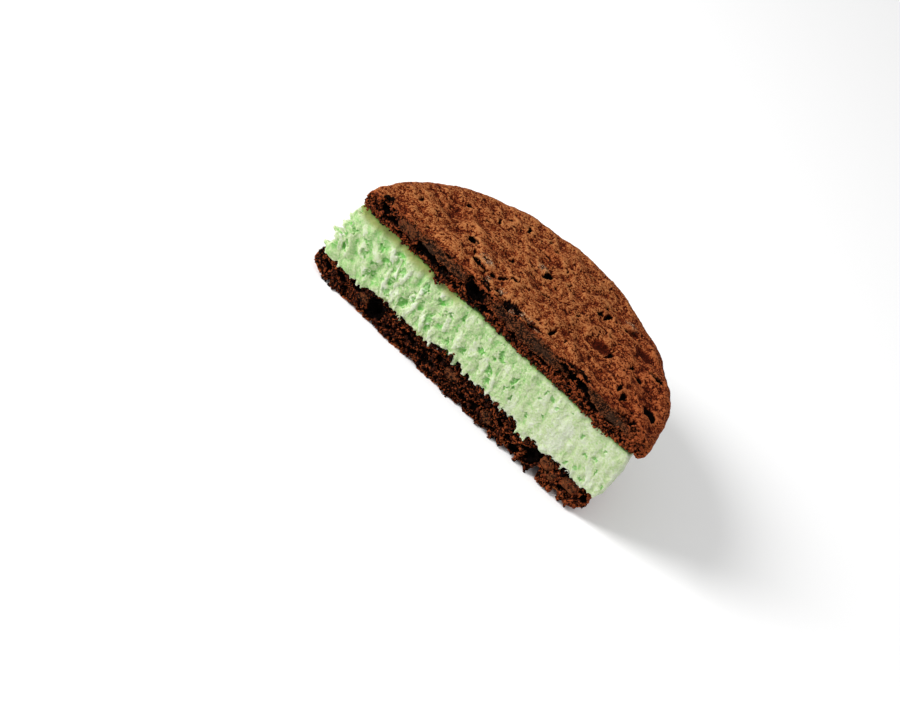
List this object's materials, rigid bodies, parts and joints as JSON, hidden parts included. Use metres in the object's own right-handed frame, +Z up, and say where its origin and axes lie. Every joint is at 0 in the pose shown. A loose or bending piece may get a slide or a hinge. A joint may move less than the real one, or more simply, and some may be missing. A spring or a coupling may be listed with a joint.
{
  "type": "ice cream sandwich half",
  "caption": "Half of a round ice cream sandwich, cut across: mint ice cream between two chocolate cookies with chocolate chunks showing in the cut.",
  "frame": {"origin": "middle of the bounding box at the level of the underside that the half rests on", "axes": "+X along the straight cut, -Y out of the cut face, +Z up through the layers, from the lower cookie to the upper"},
  "size_m": [0.0924, 0.0468, 0.0315],
  "materials": {
    "baked_cookie": "matte, granular baked crust",
    "mint_ice_cream": "matte, slightly moist",
    "dark_chocolate": "satin"
  },
  "bodies": {
    "root": {"top_cookie": "baked_cookie", "ice_cream": "mint_ice_cream", "bottom_cookie": "baked_cookie", "chocolate_chunk_upper_1": "dark_chocolate", "chocolate_chunk_upper_2": "dark_chocolate", "chocolate_chunk_upper_3": "dark_chocolate", "chocolate_chunk_upper_4": "dark_chocolate", "chocolate_chunk_lower_1": "dark_chocolate", "chocolate_chunk_lower_2": "dark_chocolate"}
  },
  "joints": []
}
